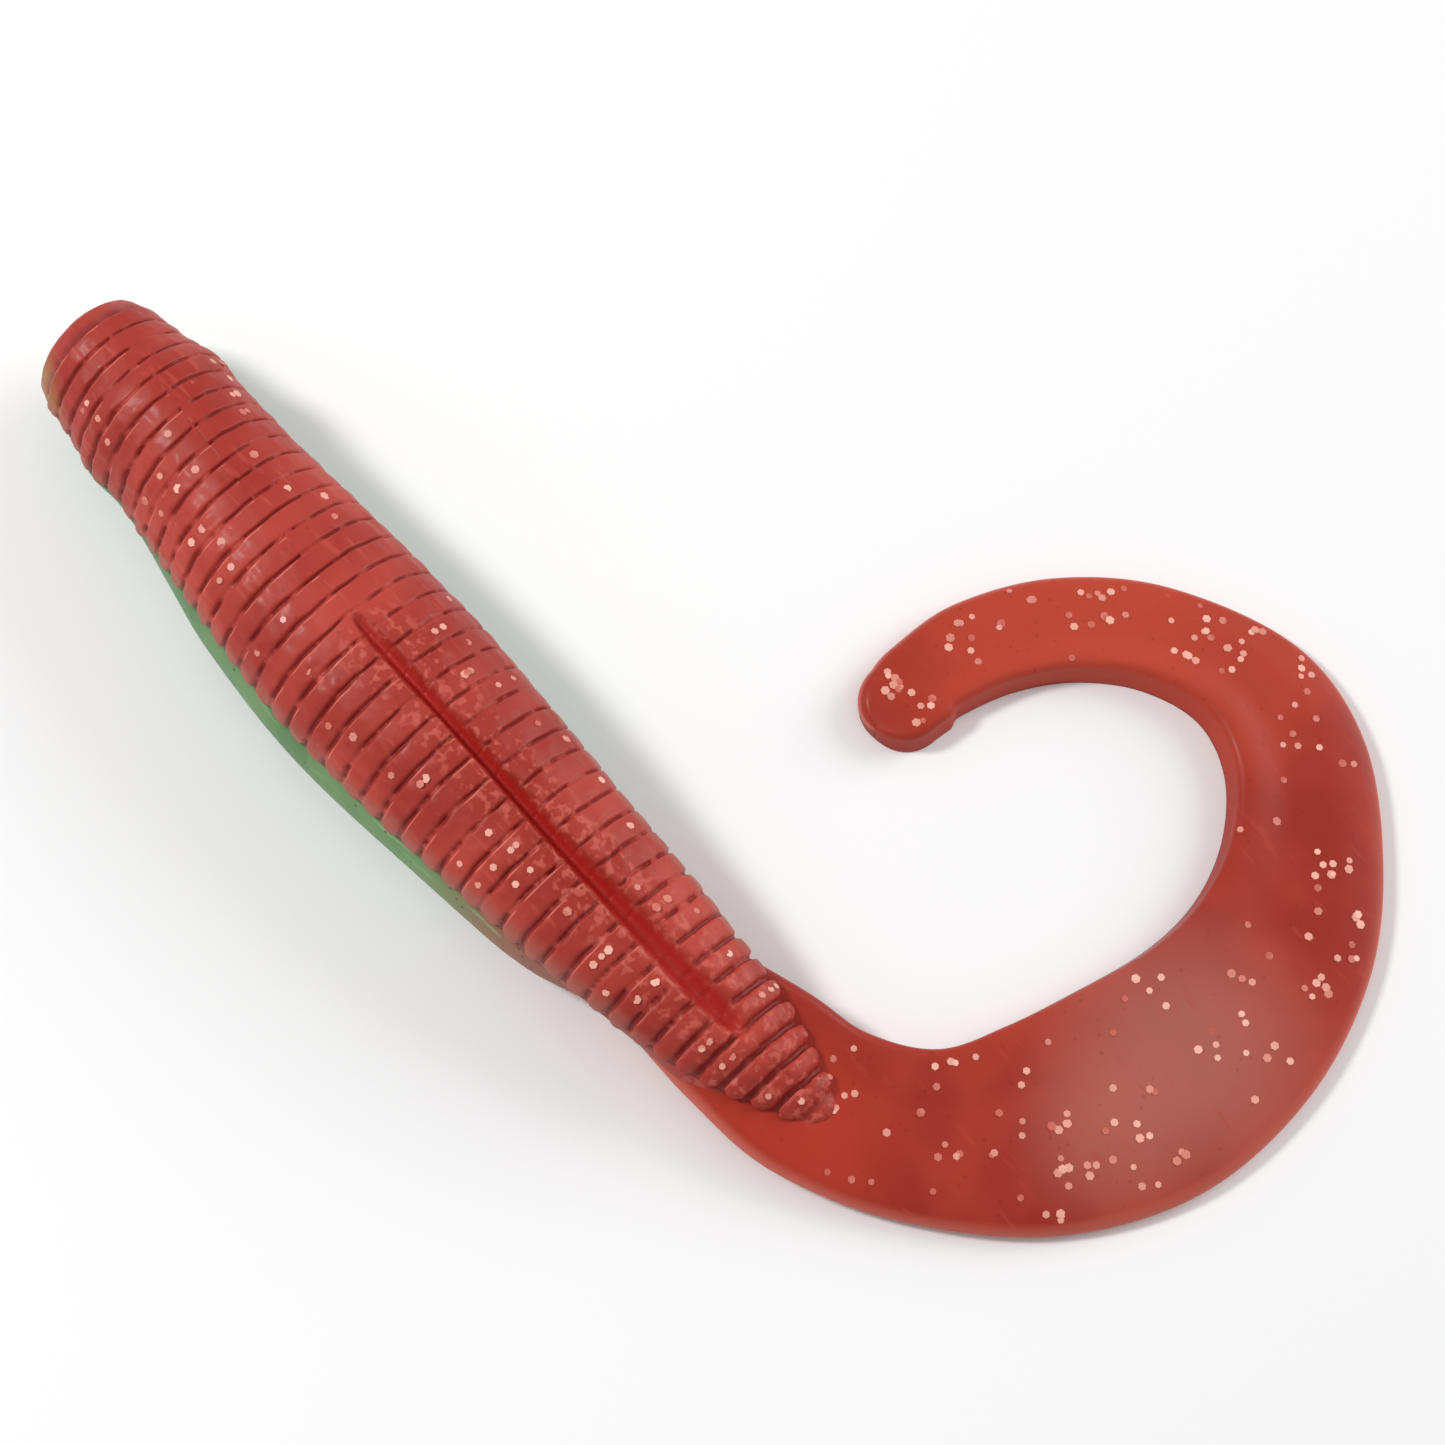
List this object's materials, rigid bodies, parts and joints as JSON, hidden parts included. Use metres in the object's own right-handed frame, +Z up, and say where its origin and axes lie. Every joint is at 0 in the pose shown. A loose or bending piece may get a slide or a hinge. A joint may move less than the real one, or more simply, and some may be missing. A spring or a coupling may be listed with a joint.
{
  "type": "soft plastic worm",
  "caption": "Ribbed soft fishing worm with a red back over a green belly, a hook slot along the back and a flat curled ribbon tail.",
  "frame": {"origin": "on the flat of the belly, in the plane that the worm rests on, 34 mm behind the nose", "axes": "+X from the nose to the tail, +Y to the side the tail curls to, +Z up out of the back"},
  "size_m": [0.0942, 0.058, 0.012],
  "materials": {
    "red_plastisol": "glossy, slightly translucent soft plastic",
    "green_plastisol": "glossy, slightly translucent soft plastic",
    "glitter_flake": "metallised film flakes"
  },
  "bodies": {
    "fore_body": {"back_fore": "red_plastisol", "belly_fore": "green_plastisol", "flakes_fore": "glitter_flake"},
    "mid_body": {"back_mid": "red_plastisol", "belly_mid": "green_plastisol", "flakes_mid": "glitter_flake"},
    "rear_body": {"back_rear": "red_plastisol", "belly_rear": "green_plastisol", "flakes_rear": "glitter_flake"},
    "tail_root_link": {"tail_root": "red_plastisol", "flakes_root": "glitter_flake"},
    "tail_bend_link": {"tail_bend": "red_plastisol", "flakes_bend": "glitter_flake"},
    "tail_paddle_link": {"tail_paddle": "red_plastisol", "flakes_paddle": "glitter_flake"},
    "tail_crown_link": {"tail_crown": "red_plastisol", "flakes_crown": "glitter_flake"},
    "tail_hook_link": {"tail_hook": "red_plastisol", "flakes_hook": "glitter_flake"},
    "tail_crook_link": {"tail_crook": "red_plastisol", "flakes_crook": "glitter_flake"},
    "tail_tip_link": {"tail_tip": "red_plastisol", "flakes_tip": "glitter_flake"}
  },
  "joints": [
    {"name": "body_sway", "type": "hinge", "parent": "fore_body", "child": "mid_body", "pos_m": [-0.014, 0, 0.00599], "axis": [0, 0, 1], "range_deg": [-20, 20], "stiffness_Nm_per_rad": 0.006},
    {"name": "body_nod", "type": "hinge", "parent": "mid_body", "child": "rear_body", "pos_m": [0.012, 0, 0.0053], "axis": [0, 1, 0], "range_deg": [-20, 20], "stiffness_Nm_per_rad": 0.005},
    {"name": "tail_sway", "type": "hinge", "parent": "rear_body", "child": "tail_root_link", "pos_m": [0.034, 0.0012, 0.0024], "axis": [0, 0, 1], "range_deg": [-20, 20], "stiffness_Nm_per_rad": 0.002},
    {"name": "tail_flap_1", "type": "hinge", "parent": "tail_root_link", "child": "tail_bend_link", "pos_m": [0.04875, 0.01175, 0.0012], "axis": [0.8538, -0.5206, 0], "range_deg": [-30, 30], "stiffness_Nm_per_rad": 0.0003},
    {"name": "tail_flap_2", "type": "hinge", "parent": "tail_bend_link", "child": "tail_paddle_link", "pos_m": [0.0526, 0.02675, 0.0012], "axis": [0.9994, 0.0342, 0], "range_deg": [-30, 30], "stiffness_Nm_per_rad": 0.0002},
    {"name": "tail_uncurl_1", "type": "hinge", "parent": "tail_paddle_link", "child": "tail_crown_link", "pos_m": [0.04785, 0.0396, 0.0012], "axis": [0, 0, -1], "range_deg": [-15, 35], "stiffness_Nm_per_rad": 0.0006},
    {"name": "tail_flap_3", "type": "hinge", "parent": "tail_crown_link", "child": "tail_hook_link", "pos_m": [0.03665, 0.04585, 0.0012], "axis": [0.0767, 0.9971, 0], "range_deg": [-30, 30], "stiffness_Nm_per_rad": 0.00008},
    {"name": "tail_uncurl_2", "type": "hinge", "parent": "tail_hook_link", "child": "tail_crook_link", "pos_m": [0.02525, 0.039, 0.0012], "axis": [0, 0, -1], "range_deg": [-15, 35], "stiffness_Nm_per_rad": 0.00015},
    {"name": "tail_flap_4", "type": "hinge", "parent": "tail_crook_link", "child": "tail_tip_link", "pos_m": [0.02165, 0.029, 0.0012], "axis": [-0.989, -0.1476, 0], "range_deg": [-30, 30], "stiffness_Nm_per_rad": 0.00003}
  ]
}
